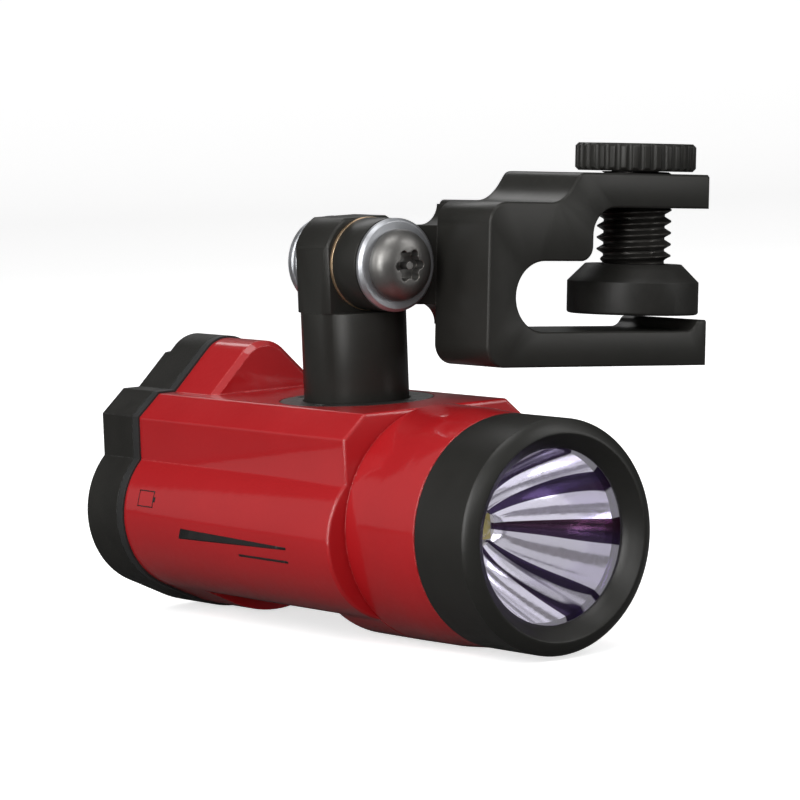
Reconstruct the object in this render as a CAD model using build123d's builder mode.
from build123d import *
import math
import os

# Firefighter's helmet-mount flashlight: a twin-cell light body, a swivelling
# post, and a screw clamp that grips the edge of a helmet brim.
#
# Frame: origin on the lamp axis directly below the swivel post.  The beam
# leaves along -Y (the front), +X is the side the clamp reaches out to, +Z is
# up the post.  Millimetres.  Names starting Y_ or ending _Z are positions.

OVERCUT = 1.0             # many cuts start this far outside the material

# light body
BODY_HALF_W = 18.8        # flat sides of the body block
BODY_TOP_Z = 19.1         # platform the post stands on
PLATFORM_HALF_W = 14.5    # half width of the platform flat
CHAMFER_Z = 15.3          # where the top chamfer meets the side
LOBE_X = 9.2              # centres of the two cell lobes
LOBE_Z = -1.6
LOBE_R = 13.6
FLAT_Z = -15.2            # underside flat between the lobes
Y_BLOCK_FRONT = -22.3
Y_BLOCK_REAR = 38.1
# neck, spigot and lamp chamber
NECK_R = 19.5
NECK_R_FRONT = 18.8
Y_NECK_UNDER = -7.6       # where the neck runs out below the block
Y_BEZEL_REAR = -40.2
SPIGOT_R = 17.3
Y_SPIGOT = -48.0          # front end of the spigot
Y_ORING = -42.0
CHAMBER_R = 15.9
Y_CHAMBER = -15.0         # rear wall of the lamp chamber
# cells
CELL_X = 9.4
CELL_Z = -1.6
CELL_SPOTS = [(-CELL_X, CELL_Z), (CELL_X, CELL_Z)]
CELL_BORE_R = 8.8
Y_CELL_BORE = -3.2        # front end of the cell bores
# rear collar
Y_COLLAR = 26.5           # front of the collar
COLLAR_R = 19.0
CORNER_X, CORNER_Z = 15.05, -13.88    # upper end of the lower slope
FOOT_X, FOOT_Z = 8.17, -17.15         # lower end of the lower slope
BUMP_TOP_Z = 27.6
BUMP_HALF_W = 11.3        # at the foot of the bump's slopes
BUMP_SHOULDER = (4.4, 25.7)           # where slope meets the round top
TAIL_SCREWS = [(0, 22.3), (-15.2, 11.4), (15.2, 11.4), (0, -15.6)]   # x, z
# swivel
POCKET_R = 13.0
POCKET_FLOOR_Z = 11.0
# pivot and clamp
PIN_Z = 41.87
PIN_R = 2.95
Y_STEP = -11.5            # the clamp's front layer stops here beside the pivot

os.makedirs("parts", exist_ok=True)


def at_y(y):
    """Plane facing the beam: local x = +X, local y = +Z, extrudes to -Y."""
    return Plane.XZ.offset(-y)


def profile_plane(z):
    """Plane for turned profiles at height z: local x = +Y, local y = +Z."""
    return Plane(origin=(0, 0, z), x_dir=(0, 1, 0), z_dir=(1, 0, 0))


def turning_axis(z):
    """Axis along +Y at height z."""
    return Axis((0, 0, z), (0, 1, 0))


def edges_at(piece, axis, position):
    """Edges whose centre lies at this position along the axis."""
    return piece.edges().filter_by_position(axis, position - 0.01, position + 0.01)


def save(piece, name):
    piece.part.label = name
    export_step(piece.part, f"parts/{name}.step")


# ------------------------------------------------------------------- housing
# bump on top of the collar, built first so that its front edge can be eased
BUMP_R = 6.04
BUMP_FOOT_Z = 19.0
with BuildPart() as bump:
    shoulder_x, shoulder_z = BUMP_SHOULDER
    with BuildSketch(at_y(Y_BLOCK_REAR)):
        Polygon(
            (-BUMP_HALF_W, BUMP_FOOT_Z - 0.5), (-BUMP_HALF_W, BUMP_FOOT_Z),
            (-shoulder_x, shoulder_z), (shoulder_x, shoulder_z),
            (BUMP_HALF_W, BUMP_FOOT_Z), (BUMP_HALF_W, BUMP_FOOT_Z - 0.5), align=None)
        with Locations((0, BUMP_TOP_Z - BUMP_R)):
            Circle(BUMP_R)
    extrude(amount=Y_BLOCK_REAR - Y_COLLAR)
    chamfer(edges_at(bump, Axis.Y, Y_COLLAR).filter_by(lambda e: e.center().Z > 19.2), 0.9)

# body block: chamfered top, flat sides, two cell lobes below
with BuildPart() as block:
    with BuildSketch(at_y(Y_BLOCK_REAR)):
        Polygon(
            (-PLATFORM_HALF_W, BODY_TOP_Z), (-BODY_HALF_W, CHAMFER_Z),
            (-BODY_HALF_W, 0), (BODY_HALF_W, 0), (BODY_HALF_W, CHAMFER_Z),
            (PLATFORM_HALF_W, BODY_TOP_Z), align=None)
        with Locations((-LOBE_X, LOBE_Z), (LOBE_X, LOBE_Z)):
            Circle(LOBE_R)
        Polygon((-LOBE_X, 0), (-LOBE_X, FLAT_Z), (LOBE_X, FLAT_Z), (LOBE_X, 0), align=None)
    extrude(amount=Y_BLOCK_REAR - Y_BLOCK_FRONT)
    fillet(block.edges().filter_by(Axis.Y).filter_by(lambda e: e.center().Z > 10), 0.6)
    fillet(edges_at(block, Axis.Y, Y_BLOCK_FRONT), 0.55)

CONTACT_PASSAGE_R = 2.6
SCREW_HOLE_R = 1.55
SCREW_HOLE_DEPTH = 8.5
with BuildPart() as housing:
    add(block.part)
    # round neck and the spigot that carries the bezel; profile is y, radius
    with BuildSketch(Plane.YZ):
        with BuildLine():
            Polyline((Y_BLOCK_FRONT + 1, 0), (Y_BLOCK_FRONT + 1, NECK_R - 2.0),
                     (Y_BLOCK_FRONT + 0.2, NECK_R - 0.6),
                     (Y_BLOCK_FRONT - 0.4, NECK_R), (-33.0, NECK_R - 0.1),
                     (-38.6, NECK_R_FRONT + 0.2), (Y_BEZEL_REAR, NECK_R_FRONT))
            Line((Y_BEZEL_REAR, NECK_R_FRONT), (Y_BEZEL_REAR, SPIGOT_R))
            Polyline((Y_BEZEL_REAR, SPIGOT_R), (Y_SPIGOT + 0.5, SPIGOT_R),
                     (Y_SPIGOT, SPIGOT_R - 0.5), (Y_SPIGOT, 0),
                     (Y_BLOCK_FRONT + 1, 0))
        make_face()
    revolve(axis=Axis.Y)
    # lower half of the neck runs back under the block and ends in a slope
    with BuildPart(mode=Mode.PRIVATE) as belly:
        with BuildSketch(Plane.YZ):
            with BuildLine():
                Polyline((Y_BLOCK_FRONT, 0), (Y_BLOCK_FRONT, NECK_R),
                         (Y_NECK_UNDER - 3.0, NECK_R), (Y_NECK_UNDER - 0.8, NECK_R - 1.2),
                         (Y_NECK_UNDER + 1.6, NECK_R - 4.6), (Y_NECK_UNDER + 1.6, 0),
                         (Y_BLOCK_FRONT, 0))
            make_face()
        revolve(axis=Axis.Y)
        # drop everything above the lamp axis
        with Locations((0, 0, 25)):
            Box(60, 100, 50, mode=Mode.SUBTRACT)
    add(belly.part)
    # rear collar
    with BuildSketch(at_y(Y_BLOCK_REAR)):
        Circle(COLLAR_R)
        Polygon(
            (-CORNER_X, CORNER_Z), (-FOOT_X, FOOT_Z), (FOOT_X, FOOT_Z),
            (CORNER_X, CORNER_Z), (LOBE_X, 0), (-LOBE_X, 0), align=None)
    extrude(amount=Y_BLOCK_REAR - Y_COLLAR)
    add(bump.part)
    # cell bores
    with BuildSketch(at_y(Y_BLOCK_REAR)):
        with Locations(*CELL_SPOTS):
            Circle(CELL_BORE_R)
    extrude(amount=Y_BLOCK_REAR - Y_CELL_BORE, mode=Mode.SUBTRACT)
    # lamp chamber
    with BuildSketch(at_y(Y_CHAMBER)):
        Circle(CHAMBER_R)
    extrude(amount=Y_CHAMBER - Y_SPIGOT, mode=Mode.SUBTRACT)
    # contact passages between bores and chamber
    with BuildSketch(at_y(Y_CELL_BORE + OVERCUT)):
        with Locations(*CELL_SPOTS):
            Circle(CONTACT_PASSAGE_R)
    extrude(amount=Y_CELL_BORE - Y_CHAMBER + 2 * OVERCUT, mode=Mode.SUBTRACT)
    # pocket for the swivel
    with BuildSketch(Plane.XY.offset(POCKET_FLOOR_Z)):
        Circle(POCKET_R)
    extrude(amount=BODY_TOP_Z - POCKET_FLOOR_Z + OVERCUT, mode=Mode.SUBTRACT)
    # tail screw holes
    with BuildSketch(at_y(Y_BLOCK_REAR)):
        with Locations(*TAIL_SCREWS):
            Circle(SCREW_HOLE_R)
    extrude(amount=SCREW_HOLE_DEPTH, mode=Mode.SUBTRACT)
    # O-ring groove on the spigot
    with BuildSketch(Plane.YZ):
        with Locations((Y_ORING, 17.0)):
            Rectangle(1.6, 1.9)
    revolve(axis=Axis.Y, mode=Mode.SUBTRACT)
save(housing, "housing")

# ---------------------------------------------------------------- lamp head
BEZEL_R = 18.95
BEZEL_BORE_R = 17.4
BEZEL_LIP_R = 14.1
Y_BEZEL_FRONT = -54.5
OPTIC_R = 15.5            # lens, gasket and reflector rim

# bezel profile is y, radius
with BuildPart() as bezel_ring:
    with BuildSketch(Plane.YZ):
        with BuildLine():
            Polyline(
                (Y_BEZEL_REAR - 0.1, BEZEL_BORE_R), (Y_BEZEL_REAR - 0.1, BEZEL_R - 0.35),
                (Y_BEZEL_REAR - 0.45, BEZEL_R), (-52.9, BEZEL_R), (-53.3, BEZEL_R - 0.25),
                (Y_BEZEL_FRONT + 0.1, 17.1), (Y_BEZEL_FRONT, 16.75),
                (Y_BEZEL_FRONT, 16.55), (Y_BEZEL_FRONT + 0.25, 16.25),
                (-52.2, BEZEL_LIP_R + 0.15), (-51.95, BEZEL_LIP_R),
                (-51.6, BEZEL_LIP_R), (-51.6, 15.65), (-48.05, 15.65),
                (-48.05, BEZEL_BORE_R), (Y_BEZEL_REAR - 0.1, BEZEL_BORE_R))
        make_face()
    revolve(axis=Axis.Y)
save(bezel_ring, "bezel_ring")

with BuildPart() as lens_gasket:
    with BuildSketch(Plane.YZ):
        Polygon((-51.58, 14.3), (-51.58, OPTIC_R), (-51.2, OPTIC_R), (-51.2, 14.3), align=None)
    revolve(axis=Axis.Y)
save(lens_gasket, "lens_gasket")

Y_LENS_REAR = -49.75
LENS_THICKNESS = 1.42
with BuildPart() as front_lens:
    with BuildSketch(at_y(Y_LENS_REAR)):
        Circle(OPTIC_R)
    extrude(amount=LENS_THICKNESS)
    chamfer(front_lens.edges(), 0.2)
save(front_lens, "front_lens")

# parabolic reflector: r^2 = 4 f s, with s measured forward from the vertex
FOCAL = 2.6
RIM_R = 13.9
RIM_THICKNESS = 1.0
Y_RIM = -49.65
Y_VERTEX = Y_RIM + RIM_R ** 2 / (4 * FOCAL)
Y_FOCUS = Y_VERTEX - FOCAL
REFLECTOR_HOLE_R = 3.4


def parabola_y(radius):
    return Y_VERTEX - radius * radius / (4 * FOCAL)


inner_radii = [RIM_R - i * (RIM_R - REFLECTOR_HOLE_R) / 9 for i in range(10)]
inner_curve = [(parabola_y(r), r) for r in inner_radii]
outer_radii = [REFLECTOR_HOLE_R + i * (RIM_R - 0.6 - REFLECTOR_HOLE_R) / 8 for i in range(9)]
outer_curve = [(parabola_y(r) + 1.1, r + 0.95) for r in outer_radii]
with BuildPart() as reflector:
    with BuildSketch(Plane.YZ):
        with BuildLine():
            Polyline((Y_RIM, OPTIC_R), (Y_RIM, RIM_R))
            Spline(*inner_curve)
            Polyline(inner_curve[-1], (inner_curve[-1][0] + 0.8, REFLECTOR_HOLE_R),
                     outer_curve[0])
            Spline(*outer_curve)
            Polyline(outer_curve[-1], (Y_RIM + RIM_THICKNESS, outer_curve[-1][1]),
                     (Y_RIM + RIM_THICKNESS, OPTIC_R), (Y_RIM, OPTIC_R))
        make_face()
    revolve(axis=Axis.Y)
save(reflector, "reflector")

# square LED package with a domed front
DOME_R = 1.75
Y_DOME_BASE = -32.8
with BuildPart() as led_emitter:
    with BuildSketch(at_y(-31.0)):
        RectangleRounded(4.2, 4.2, 0.4)
    extrude(amount=1.85)
    with BuildSketch(Plane.YZ):
        with BuildLine():
            Polyline((Y_DOME_BASE, 0), (Y_FOCUS - 0.9, 0))
            RadiusArc((Y_FOCUS - 0.9, 0), (Y_DOME_BASE, DOME_R), 1.8)
            Line((Y_DOME_BASE, DOME_R), (Y_DOME_BASE, 0))
        make_face()
    revolve(axis=Axis.Y)
save(led_emitter, "led_emitter")

# round board with a notch in each side
LED_BOARD_R = 9.0
with BuildPart() as led_board:
    with BuildSketch(at_y(-29.45)):
        Circle(LED_BOARD_R)
        with PolarLocations(LED_BOARD_R, 2):
            Circle(1.4, mode=Mode.SUBTRACT)
    extrude(amount=1.5)
save(led_board, "led_board")

Y_SINK_REAR = -21.0
FIN_PITCH = 5.2
FIN_THICKNESS = 1.4
with BuildPart() as heat_sink:
    with BuildSketch(at_y(Y_SINK_REAR)):
        Circle(15.8)
    extrude(amount=8.35)
    # rear cavity crossed by five fins
    with BuildSketch(at_y(Y_SINK_REAR)):
        Circle(13.2)
        with GridLocations(0, FIN_PITCH, 1, 5):
            Rectangle(27, FIN_THICKNESS, mode=Mode.SUBTRACT)
    extrude(amount=6.5, mode=Mode.SUBTRACT)
    # small hole above the axis
    with Locations(at_y(-25)):
        with Locations((0, 11.5)):
            Hole(1.3, depth=15)
save(heat_sink, "heat_sink")

# board with three components on its rear face
Y_DRIVER_REAR = -19.3
with BuildPart() as driver_board:
    with BuildSketch(at_y(Y_DRIVER_REAR)):
        Circle(15.6)
    extrude(amount=1.4)
    with BuildSketch(at_y(Y_DRIVER_REAR)):
        with Locations((-5, 4)):
            Rectangle(5, 5)
        with Locations((5, -3)):
            Rectangle(4, 6)
        with Locations((4, 7)):
            Circle(2.2)
    extrude(amount=-1.6)
save(driver_board, "driver_board")

# disc with a bored boss reaching back into each contact passage
Y_CARRIER_REAR = Y_CHAMBER - 0.05
with BuildPart() as contact_carrier:
    with BuildSketch(at_y(Y_CARRIER_REAR)):
        Circle(15.6)
    extrude(amount=1.6)
    with BuildSketch(at_y(Y_CARRIER_REAR)):
        with Locations(*CELL_SPOTS):
            Circle(2.5)
    extrude(amount=-8.0)
    with BuildSketch(at_y(-5)):
        with Locations(*CELL_SPOTS):
            Circle(1.3)
    extrude(amount=14, mode=Mode.SUBTRACT)
save(contact_carrier, "contact_carrier")

# a pin with a wider rear disc for each cell
with BuildPart() as cell_contacts:
    with BuildSketch(at_y(-4.0)):
        with Locations(*CELL_SPOTS):
            Circle(1.25)
    extrude(amount=13.2)
    with BuildSketch(at_y(-3.0)):
        with Locations(*CELL_SPOTS):
            Circle(2.4)
    extrude(amount=1.1)
save(cell_contacts, "cell_contacts")

# front coil springs, one in each cell bore
with BuildPart() as contact_springs:
    for x, z in CELL_SPOTS:
        with BuildLine() as coil:
            Helix(pitch=1.1, height=3.3, radius=3.4, center=(x, -2.65, z), direction=(0, 1, 0))
        with BuildSketch(Plane(origin=coil.line @ 0, z_dir=coil.line % 0)):
            Circle(0.28)
        sweep(path=coil.line, is_frenet=True)
save(contact_springs, "contact_springs")

# ---------------------------------------------------------------------- cells
CELL_R = 8.5
CELL_LEN = 34.5           # over the button
BUTTON_LEN = 1.2          # how far the button stands out
BUTTON_ROOT = 0.1         # how far it reaches into the can
Y_CELL_FRONT = 1.0
Y_CELL_REAR = Y_CELL_FRONT + CELL_LEN


def make_cell(name, x, y_can_rear, y_button_rear):
    with BuildPart() as cell:
        with BuildSketch(at_y(y_can_rear)):
            with Locations((x, CELL_Z)):
                Circle(CELL_R)
        extrude(amount=CELL_LEN - BUTTON_LEN)
        fillet(cell.edges(), 0.7)
        with BuildSketch(at_y(y_button_rear)):
            with Locations((x, CELL_Z)):
                Circle(3.3)
        extrude(amount=BUTTON_LEN + BUTTON_ROOT)
    save(cell, name)


# the left button points to the front, the right one to the rear
make_cell("cell_left", -CELL_X, Y_CELL_REAR, Y_CELL_FRONT + BUTTON_LEN + BUTTON_ROOT)
make_cell("cell_right", CELL_X, Y_CELL_REAR - BUTTON_LEN, Y_CELL_REAR)

with BuildPart() as bezel_oring:
    with BuildSketch(Plane.YZ):
        with Locations((Y_ORING, 16.75)):
            Circle(0.6)
    revolve(axis=Axis.Y)
save(bezel_oring, "bezel_oring")

# ----------------------------------------------------------------------- tail
Y_TAIL = 39.9             # front face of the tail cap
Y_TAIL_REAR = 50.2
Y_CUT = Y_TAIL_REAR + OVERCUT
Y_SWITCH_CHAMBER = 46.9   # rear wall of the switch chamber
Y_SCREW_SEAT = Y_TAIL_REAR - 2.4
LIP = 0.35                # tail outline stands this proud of the collar profile
SCREW_CLEARANCE_R = 1.6
BUTTON_Z = 1.5
BUTTON_HOLE_R = 6.6
WINDOW_R = 10.6
WINDOW_INNER_R = 7.6
LAMP_CIRCLE_R = 8.9       # four lamps behind the ring window

# collar section: the block, the round barrel below and the top bump
with BuildSketch() as collar_profile:
    with BuildLine():
        ThreePointArc((0, BUMP_TOP_Z), (2.3, 27.145), BUMP_SHOULDER)
        Polyline(BUMP_SHOULDER, (BUMP_HALF_W, BODY_TOP_Z), (PLATFORM_HALF_W, BODY_TOP_Z),
                 (BODY_HALF_W, CHAMFER_Z), (BODY_HALF_W, 8.03))
        ThreePointArc((BODY_HALF_W, 8.03), (22.593, -3.962), (CORNER_X, CORNER_Z))
        Line((CORNER_X, CORNER_Z), (FOOT_X, FOOT_Z))
        ThreePointArc((FOOT_X, FOOT_Z), (4.15, -18.54), (0, -COLLAR_R))
        mirror(about=Plane.YZ)
    make_face()

Y_GASKET_REAR = Y_TAIL - 0.1
Y_GASKET_FRONT = Y_BLOCK_REAR + 0.05
with BuildPart() as tail_gasket:
    with BuildSketch(at_y(Y_GASKET_REAR)):
        add(collar_profile.sketch)
        offset(amount=LIP, kind=Kind.INTERSECTION)
        with Locations(*CELL_SPOTS):
            Circle(CELL_BORE_R - 0.6, mode=Mode.SUBTRACT)
        with Locations(*TAIL_SCREWS):
            Circle(SCREW_CLEARANCE_R, mode=Mode.SUBTRACT)
    extrude(amount=Y_GASKET_REAR - Y_GASKET_FRONT)
save(tail_gasket, "tail_gasket")

with BuildPart() as tail_cap:
    with BuildSketch(at_y(Y_TAIL_REAR)):
        add(collar_profile.sketch)
        offset(amount=LIP, kind=Kind.INTERSECTION)
    extrude(amount=Y_TAIL_REAR - Y_TAIL)
    chamfer(edges_at(tail_cap, Axis.Y, Y_TAIL_REAR), 0.9)
    # step across the tip of the top bump
    with Locations((0, Y_TAIL_REAR, 28.0)):
        Box(30, 4.4, 6.0, mode=Mode.SUBTRACT)
    # chamber for the switch, leaving a boss round each screw
    with BuildSketch(at_y(Y_SWITCH_CHAMBER)):
        Circle(14.2)
        with Locations(*TAIL_SCREWS):
            Circle(4.2, mode=Mode.SUBTRACT)
    extrude(amount=Y_SWITCH_CHAMBER - Y_TAIL, mode=Mode.SUBTRACT)
    # button opening
    with BuildSketch(at_y(Y_CUT)):
        with Locations((0, BUTTON_Z)):
            Circle(BUTTON_HOLE_R)
    extrude(amount=6, mode=Mode.SUBTRACT)
    # ring window
    with BuildSketch(at_y(Y_CUT)):
        with Locations((0, BUTTON_Z)):
            Circle(WINDOW_R)
            Circle(WINDOW_INNER_R, mode=Mode.SUBTRACT)
    extrude(amount=2.6, mode=Mode.SUBTRACT)
    # light passages from the lamps to the window
    with BuildSketch(at_y(48.7)):
        with Locations((0, BUTTON_Z)):
            with PolarLocations(LAMP_CIRCLE_R, 4, start_angle=45):
                Circle(1.3)
    extrude(amount=2, mode=Mode.SUBTRACT)
    # screw holes with counterbores
    with BuildSketch(at_y(Y_CUT)):
        with Locations(*TAIL_SCREWS):
            Circle(SCREW_CLEARANCE_R)
    extrude(amount=12, mode=Mode.SUBTRACT)
    with BuildSketch(at_y(Y_CUT)):
        with Locations(*TAIL_SCREWS):
            Circle(3.0)
    extrude(amount=Y_CUT - Y_SCREW_SEAT, mode=Mode.SUBTRACT)
save(tail_cap, "tail_cap")

# cap screws with hex sockets
Y_SCREW_TIP = 31.0
SCREW_HEAD_H = 1.9
with BuildPart() as tail_screws:
    for spot in TAIL_SCREWS:
        with BuildSketch(at_y(Y_SCREW_SEAT)):
            with Locations(spot):
                Circle(1.5)
        extrude(amount=Y_SCREW_SEAT - Y_SCREW_TIP)
        with BuildSketch(at_y(Y_SCREW_SEAT + SCREW_HEAD_H)):
            with Locations(spot):
                Circle(2.75)
        extrude(amount=SCREW_HEAD_H)
        with BuildSketch(at_y(Y_SCREW_SEAT + SCREW_HEAD_H)):
            with Locations(spot):
                RegularPolygon(1.25, 6)
        extrude(amount=1.1, mode=Mode.SUBTRACT)
save(tail_screws, "tail_screws")

Y_CONTACT_BOARD_REAR = 41.5
with BuildPart() as tail_contact_board:
    with BuildSketch(at_y(Y_CONTACT_BOARD_REAR)):
        Circle(10.6)
        Circle(1.2, mode=Mode.SUBTRACT)
    extrude(amount=1.4)
save(tail_contact_board, "tail_contact_board")

Y_CONTACT_REAR = 40.05
Y_CONTACT_FRONT = Y_CELL_REAR + 0.1
with BuildPart() as tail_contacts:
    with BuildSketch(at_y(Y_CONTACT_REAR)):
        with Locations((-7.6, CELL_Z), (7.6, CELL_Z)):
            Circle(2.4)
    extrude(amount=Y_CONTACT_REAR - Y_CONTACT_FRONT)
    fillet(edges_at(tail_contacts, Axis.Y, Y_CONTACT_FRONT), 0.8)
save(tail_contacts, "tail_contacts")

Y_SWITCH_REAR = 44.9
with BuildPart() as switch_module:
    with BuildSketch(at_y(Y_SWITCH_REAR)):
        with Locations((0, BUTTON_Z)):
            RectangleRounded(8.0, 8.0, 1.0)
    extrude(amount=Y_SWITCH_REAR - Y_CONTACT_BOARD_REAR - 0.05)
save(switch_module, "switch_module")

with BuildPart() as tail_leds:
    with BuildSketch(at_y(46.6)):
        with Locations((0, BUTTON_Z)):
            with PolarLocations(LAMP_CIRCLE_R, 4, start_angle=45, rotate=False):
                RectangleRounded(2.4, 2.4, 0.3)
    extrude(amount=1.6)
save(tail_leds, "tail_leds")

Y_TAIL_LENS_REAR = Y_TAIL_REAR + 0.15
with BuildPart() as tail_lens:
    with BuildSketch(at_y(Y_TAIL_LENS_REAR)):
        with Locations((0, BUTTON_Z)):
            Circle(WINDOW_R - 0.08)
            Circle(WINDOW_INNER_R + 0.08, mode=Mode.SUBTRACT)
    extrude(amount=1.65)
    fillet(edges_at(tail_lens, Axis.Y, Y_TAIL_LENS_REAR), 0.35)
save(tail_lens, "tail_lens")

# boot profile is y, radius
BOOT_R = BUTTON_HOLE_R - 0.08
Y_BOOT_FRONT = 47.0
Y_BOOT_REAR = 50.7
with BuildPart() as button_boot:
    with BuildSketch(profile_plane(BUTTON_Z)):
        with BuildLine():
            Polyline((Y_BOOT_FRONT, 0), (Y_BOOT_FRONT, BOOT_R), (49.5, BOOT_R), (49.95, 6.2),
                     (50.5, 5.2), (Y_BOOT_REAR, 4.2), (Y_BOOT_REAR, 0), (Y_BOOT_FRONT, 0))
        make_face()
    revolve(axis=turning_axis(BUTTON_Z))
    # raised ring so a gloved thumb can find it
    with BuildSketch(at_y(Y_BOOT_REAR + 0.45)):
        with Locations((0, BUTTON_Z)):
            Circle(4.3)
            Circle(3.5, mode=Mode.SUBTRACT)
    extrude(amount=1.0)
save(button_boot, "button_boot")

with BuildPart() as button_plunger:
    with BuildSketch(at_y(46.95)):
        with Locations((0, BUTTON_Z)):
            Circle(2.2)
    extrude(amount=0.8)
save(button_plunger, "button_plunger")

# --------------------------------------------------------------------- swivel
RING_Z = 16.05            # underside of the swivel ring
FLANGE_Z = POCKET_FLOOR_Z + 1.67
SEAL_Z = 17.4
POST_R = 8.8
POST_SHOULDER_Z = 34.0
TANG_HALF_T = 4.7         # along Y
TANG_HALF_W = 8.4         # along X
TANG_TOP = 7.75           # above the pin

with BuildPart() as swivel_ring:
    with BuildSketch(Plane.XY.offset(RING_Z)):
        Circle(12.95)
        Circle(POST_R + 0.08, mode=Mode.SUBTRACT)
    extrude(amount=BODY_TOP_Z - RING_Z)
    chamfer(edges_at(swivel_ring, Axis.Z, BODY_TOP_Z), 0.2)
    # spanner holes
    with BuildSketch(Plane.XY.offset(BODY_TOP_Z)):
        with PolarLocations(10.95, 4, start_angle=20):
            Circle(0.95)
    extrude(amount=-1.8, mode=Mode.SUBTRACT)
save(swivel_ring, "swivel_ring")

with BuildPart() as thrust_washer:
    with BuildSketch(Plane.XY.offset(POCKET_FLOOR_Z + 0.02)):
        Circle(12.8)
        Circle(5.0, mode=Mode.SUBTRACT)
    extrude(amount=1.6)
save(thrust_washer, "thrust_washer")

TRIM_R = 16               # outside of the ring cuts that trim the tang
with BuildPart() as post:
    # flange trapped under the ring, then the round post
    with BuildSketch(Plane.XY.offset(FLANGE_Z)):
        Circle(12.9)
    extrude(amount=RING_Z - 0.05 - FLANGE_Z)
    with BuildSketch(Plane.XY.offset(14.0)):
        Circle(POST_R)
    extrude(amount=POST_SHOULDER_Z - 14.0)
    chamfer(edges_at(post, Axis.Z, POST_SHOULDER_Z), 0.15)
    # upper tang with rounded shoulders and a flat top
    with BuildSketch(at_y(TANG_HALF_T)):
        with Locations((0, PIN_Z)):
            Circle(POST_R)
        with Locations((0, (PIN_Z + POST_SHOULDER_Z - 0.6) / 2)):
            Rectangle(2 * POST_R, PIN_Z - POST_SHOULDER_Z + 0.6)
        with Locations((0, PIN_Z + TANG_TOP - 20)):
            Rectangle(2 * TANG_HALF_W, 40, mode=Mode.INTERSECT)
    extrude(amount=2 * TANG_HALF_T)
    chamfer(post.edges().filter_by(lambda e: abs(abs(e.center().Y) - TANG_HALF_T) < 0.05
                                   and e.center().Z > PIN_Z + 1), 0.35)
    # round off the tang's corners
    with BuildSketch(Plane.XY.offset(POST_SHOULDER_Z)):
        Circle(TRIM_R)
        Circle(9.2, mode=Mode.SUBTRACT)
    extrude(amount=20, mode=Mode.SUBTRACT)
    # trim the tang's foot to the post
    with BuildSketch(Plane.XY.offset(POST_SHOULDER_Z - 0.7)):
        Circle(TRIM_R)
        Circle(POST_R, mode=Mode.SUBTRACT)
    extrude(amount=0.7, mode=Mode.SUBTRACT)
    # cross hole for the pivot
    with BuildSketch(at_y(TANG_HALF_T + OVERCUT)):
        with Locations((0, PIN_Z)):
            Circle(PIN_R + 0.05)
    extrude(amount=2 * (TANG_HALF_T + OVERCUT), mode=Mode.SUBTRACT)
    # seal groove inside the ring
    with BuildSketch(Plane.XZ):
        with Locations((POST_R, SEAL_Z)):
            Rectangle(1.5, 1.2)
    revolve(axis=Axis.Z, mode=Mode.SUBTRACT)
save(post, "post")

with BuildPart() as post_oring:
    with BuildSketch(Plane.XZ):
        with Locations((8.42, SEAL_Z)):
            Circle(0.36)
    revolve(axis=Axis.Z)
save(post_oring, "post_oring")

# ---------------------------------------------------------------------- pivot
WASHER_BORE_R = 3.02
Y_HEAD_SEAT = -13.12
Y_HEAD_FRONT = -16.4
HEAD_R = 5.95
Y_PIN_REAR = 11.6
Y_NUT_FRONT = 8.15
Y_NUT_REAR = 10.9


def make_washer(name, y_front, y_rear, outer_r, bevel):
    with BuildPart() as washer:
        with BuildSketch(at_y(y_rear)):
            with Locations((0, PIN_Z)):
                Circle(outer_r)
                Circle(WASHER_BORE_R, mode=Mode.SUBTRACT)
        extrude(amount=y_rear - y_front)
        if bevel:
            chamfer(washer.edges().filter_by(
                lambda e: e.bounding_box().size.X > 2 * outer_r - 0.5), bevel)
    save(washer, name)


# name, front y, rear y, outer radius, bevel of the outer edges
WASHERS = [
    ("friction_washer", -5.3, -4.72, 7.76, 0),
    ("pivot_washer", -13.1, -11.55, 7.73, 0.5),
    ("back_washer", 4.72, 6.3, 7.73, 0.4),
    ("spring_washer", 6.35, 8.1, 7.5, 0.4),
]
for washer_row in WASHERS:
    make_washer(*washer_row)

with BuildPart() as pivot_screw:
    with BuildSketch(at_y(Y_PIN_REAR)):
        with Locations((0, PIN_Z)):
            Circle(PIN_R)
    extrude(amount=Y_PIN_REAR - Y_HEAD_SEAT + 0.03)
    chamfer(edges_at(pivot_screw, Axis.Y, Y_PIN_REAR), 0.5)
    # button head
    with BuildSketch(profile_plane(PIN_Z)):
        with BuildLine():
            Polyline((Y_HEAD_SEAT, 0), (Y_HEAD_SEAT, HEAD_R), (-13.9, HEAD_R))
            ThreePointArc((-13.9, HEAD_R), (-15.75, 4.6), (Y_HEAD_FRONT, 3.1))
            Line((Y_HEAD_FRONT, 3.1), (Y_HEAD_FRONT, 0))
            Line((Y_HEAD_FRONT, 0), (Y_HEAD_SEAT, 0))
        make_face()
    revolve(axis=turning_axis(PIN_Z))
    # six-lobed socket with a centre pin
    with BuildSketch(at_y(-14.4)):
        with Locations((0, PIN_Z)):
            Circle(2.15)
            with PolarLocations(2.1, 6):
                Circle(0.72)
            Circle(0.65, mode=Mode.SUBTRACT)
    extrude(amount=3.0, mode=Mode.SUBTRACT)
save(pivot_screw, "pivot_screw")

with BuildPart() as pivot_nut:
    with BuildSketch(at_y(Y_NUT_REAR)):
        with Locations((0, PIN_Z)):
            RegularPolygon(5.0, 6)
            Circle(WASHER_BORE_R, mode=Mode.SUBTRACT)
    extrude(amount=Y_NUT_REAR - Y_NUT_FRONT)
    # the six straight edges of the rear face
    chamfer(edges_at(pivot_nut, Axis.Y, Y_NUT_REAR).filter_by(
        lambda e: 4.5 < e.length < 5.5), 0.4)
save(pivot_nut, "pivot_nut")

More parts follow.
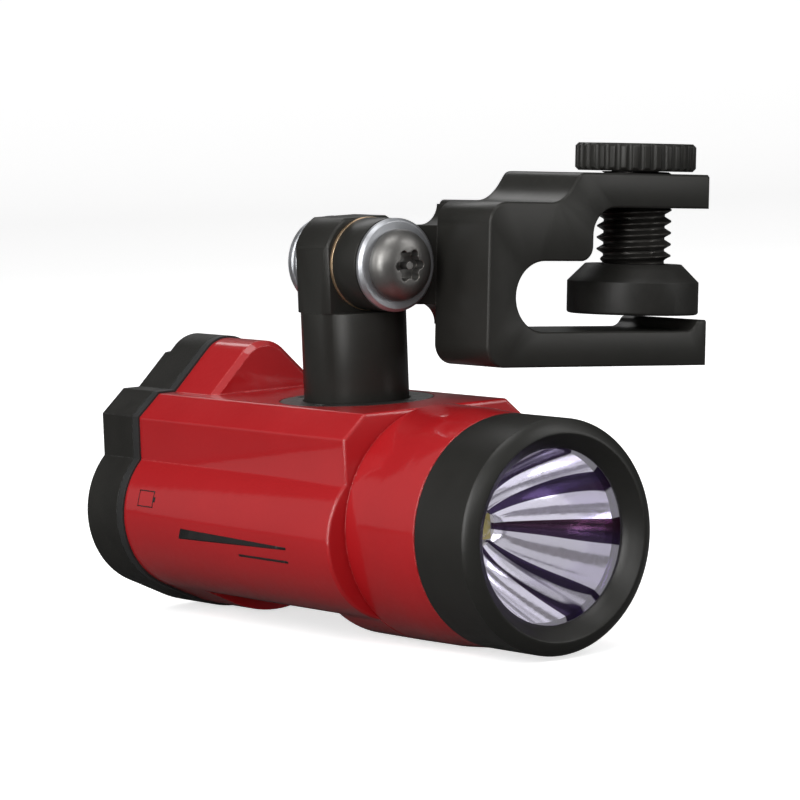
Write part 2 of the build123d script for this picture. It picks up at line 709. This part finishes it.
# ---------------------------------------------------------------------- clamp
# Clamp positions are given as x and height before the clamp is tilted about
# the pivot pin.
TILT = math.radians(4.14)     # the free end hangs down at rest
TILTED_X = (math.cos(TILT), 0, -math.sin(TILT))
TILTED_UP = (math.sin(TILT), 0, math.cos(TILT))
Y_ARM_FRONT = -25.9
Y_ARM_BACK = -5.4
SCREW_X = 47.8
SCREW_Y = -15.65
THREAD_R = 6.35               # half-inch major diameter
THREAD_Z = 42.4               # lower end of the full-diameter screw
PITCH = 25.4 / 13
KNOB_Z = 58.05
KNOB_R = 10.27
SCREW_HEX_R = 4.6
STEM_R = 4.5                  # plain lower end of the screw


def tilted_point(x, y, height):
    rise = height - PIN_Z
    return (x * math.cos(TILT) + rise * math.sin(TILT), y,
            PIN_Z - x * math.sin(TILT) + rise * math.cos(TILT))


def side_plane(y, x=0, height=0):
    """Plane facing the beam in the tilted clamp; local y runs up the clamp."""
    return Plane(origin=tilted_point(x, y, height), x_dir=TILTED_X, z_dir=(0, -1, 0))


def screw_plane(height):
    """Plane across the clamp screw, facing up it."""
    return Plane(origin=tilted_point(SCREW_X, SCREW_Y, height),
                 x_dir=TILTED_X, z_dir=TILTED_UP)


def clamp_outline(left, low_r, top_r):
    """C-shaped side view (x, height); the radii round its two left corners."""
    right, bottom, top, jaw_top = 55.9, 25.4, 52.65, 57.65
    mid = 0.29                # arc midpoint, as a share of the radius
    with BuildSketch() as outline:
        with BuildLine():
            Line((right, bottom), (left + low_r, bottom))
            ThreePointArc((left + low_r, bottom),
                          (left + mid * low_r, bottom + mid * low_r),
                          (left, bottom + low_r))
            Line((left, bottom + low_r), (left, top - top_r))
            ThreePointArc((left, top - top_r),
                          (left + mid * top_r, top - mid * top_r),
                          (left + top_r, top))
            Line((left + top_r, top), (21.9, top))
            Spline((21.9, top), (24.1, 53.25), (26.3, 55.25), (27.4, 56.85),
                   (29.4, jaw_top), tangents=[(1, 0), (1, 0)])
            Polyline((29.4, jaw_top), (55.5, jaw_top), (right, 57.25), (right, 51.9),
                     (35.6, 51.9))
            ThreePointArc((35.6, 51.9), (32.35, 50.55), (31.0, 47.3))
            Line((31.0, 47.3), (31.0, 45.4))
            ThreePointArc((31.0, 45.4), (30.27, 43.68), (28.55, 42.95))
            Line((28.55, 42.95), (20.85, 42.95))
            ThreePointArc((20.85, 42.95), (15.0, 37.1), (20.85, 31.25))
            Line((20.85, 31.25), (51.6, 31.25))
            ThreePointArc((51.6, 31.25), (52.95, 31.7), (53.6, 32.45))
            ThreePointArc((53.6, 32.45), (54.15, 32.95), (54.9, 33.1))
            Polyline((54.9, 33.1), (55.6, 33.1), (right, 32.8), (right, bottom))
        make_face()
    return outline.sketch


# the front layer's left end stands beside the pivot
front_outline = clamp_outline(left=9.1, low_r=3.6, top_r=3.6)
back_outline = clamp_outline(left=14.0, low_r=2.8, top_r=1.0)

Y_WEB_BACK = Y_ARM_BACK + 0.05
with BuildPart() as clamp_bracket:
    with BuildSketch(side_plane(Y_STEP)):
        add(front_outline)
    extrude(amount=Y_STEP - Y_ARM_FRONT)
    with BuildSketch(side_plane(Y_ARM_BACK)):
        add(back_outline)
    extrude(amount=Y_ARM_BACK - Y_STEP)
    # web and knuckle that reach to the pivot, drawn about the pin
    with BuildSketch(side_plane(Y_WEB_BACK, height=PIN_Z)):
        with BuildLine():
            Line((0, 6.55), (10.0, 6.55))
            ThreePointArc((10.0, 6.55), (12.47, 7.57), (13.5, 10.05))
            Polyline((13.5, 10.05), (16, 10.05), (16, -10.05), (13.5, -10.05))
            ThreePointArc((13.5, -10.05), (12.47, -7.57), (10.0, -6.55))
            Polyline((10.0, -6.55), (0, -6.55), (0, 6.55))
        make_face()
        Circle(7.7)
    extrude(amount=Y_WEB_BACK - Y_STEP)
    # eased edges of the front face
    chamfer(clamp_bracket.faces().sort_by(Axis.Y)[0].edges(), 0.3)
    # pivot bore and screw bore
    with BuildSketch(side_plane(0, height=PIN_Z)):
        Circle(PIN_R + 0.06)
    extrude(amount=30, mode=Mode.SUBTRACT)
    with BuildSketch(screw_plane(50)):
        Circle(THREAD_R + 0.06)
    extrude(amount=12, mode=Mode.SUBTRACT)
save(clamp_bracket, "clamp_bracket")

with BuildPart() as clamp_screw:
    with BuildSketch(screw_plane(THREAD_Z)):
        Circle(THREAD_R)
    extrude(amount=KNOB_Z - 0.05 - THREAD_Z)
    with BuildSketch(screw_plane(36.4)):
        Circle(STEM_R)
    extrude(amount=43 - 36.4)
    # upper hex that carries the knob
    with BuildSketch(screw_plane(57.0)):
        RegularPolygon(SCREW_HEX_R, 6)
    extrude(amount=4.6)
    # thread as separate V-shaped ring grooves at the real pitch
    thread_plane = side_plane(SCREW_Y, x=SCREW_X)
    with BuildSketch(thread_plane):
        for k in range(7):
            with Locations((THREAD_R, 43.4 + k * PITCH)):
                Polygon((0.1, -0.86), (0.1, 0.86), (-1.1, 0.12), (-1.1, -0.12), align=None)
    revolve(axis=Axis(thread_plane.origin, TILTED_UP), mode=Mode.SUBTRACT)
save(clamp_screw, "clamp_screw")

with BuildPart() as clamp_knob:
    with BuildSketch(screw_plane(KNOB_Z)):
        Circle(KNOB_R)
    extrude(amount=4.7)
    chamfer(clamp_knob.edges(), 0.55)
    # grip flutes
    with BuildSketch(screw_plane(KNOB_Z - OVERCUT)):
        with PolarLocations(KNOB_R + 0.22, 32):
            Circle(0.62)
    extrude(amount=7, mode=Mode.SUBTRACT)
    # hex socket for the screw
    with BuildSketch(screw_plane(KNOB_Z - OVERCUT)):
        RegularPolygon(SCREW_HEX_R + 0.05, 6)
    extrude(amount=4.6, mode=Mode.SUBTRACT)
save(clamp_knob, "clamp_knob")

PAD_Z = 33.8                  # gripping face
PAD_TOP_Z = 42.3
RETAINER_Z = 38.5
RETAINER_R = 5.5
RETAINER_H = 1.0


def rims_at(piece, height):
    """Circular edges centred on the screw axis at this height."""
    centre = screw_plane(height).origin
    return piece.edges().filter_by(GeomType.CIRCLE).filter_by(
        lambda e: (e.arc_center - centre).length < 0.2)


with BuildPart() as foot_pad:
    with BuildSketch(screw_plane(PAD_Z)):
        Circle(11.2)
    extrude(amount=PAD_TOP_Z - PAD_Z)
    chamfer(rims_at(foot_pad, PAD_TOP_Z), 3.0)
    fillet(rims_at(foot_pad, PAD_Z), 0.5)
    # bore for the screw's stem
    with BuildSketch(screw_plane(36.0)):
        Circle(STEM_R + 0.06)
    extrude(amount=10, mode=Mode.SUBTRACT)
    # ring groove for the retainer
    with BuildSketch(screw_plane(RETAINER_Z - 0.1)):
        Circle(RETAINER_R + 0.1)
        Circle(4.0, mode=Mode.SUBTRACT)
    extrude(amount=RETAINER_H + 0.2, mode=Mode.SUBTRACT)
    # ring groove in the gripping face
    with BuildSketch(screw_plane(PAD_Z)):
        Circle(8.35)
        Circle(7.65, mode=Mode.SUBTRACT)
    extrude(amount=0.5, mode=Mode.SUBTRACT)
save(foot_pad, "foot_pad")

# split ring, open towards the clamp's free end
with BuildPart() as pad_retainer:
    with BuildSketch(screw_plane(RETAINER_Z)):
        Circle(RETAINER_R)
        Circle(STEM_R + 0.07, mode=Mode.SUBTRACT)
        with Locations((5.0, 0)):
            Rectangle(2.4, 1.6, mode=Mode.SUBTRACT)
    extrude(amount=RETAINER_H)
save(pad_retainer, "pad_retainer")
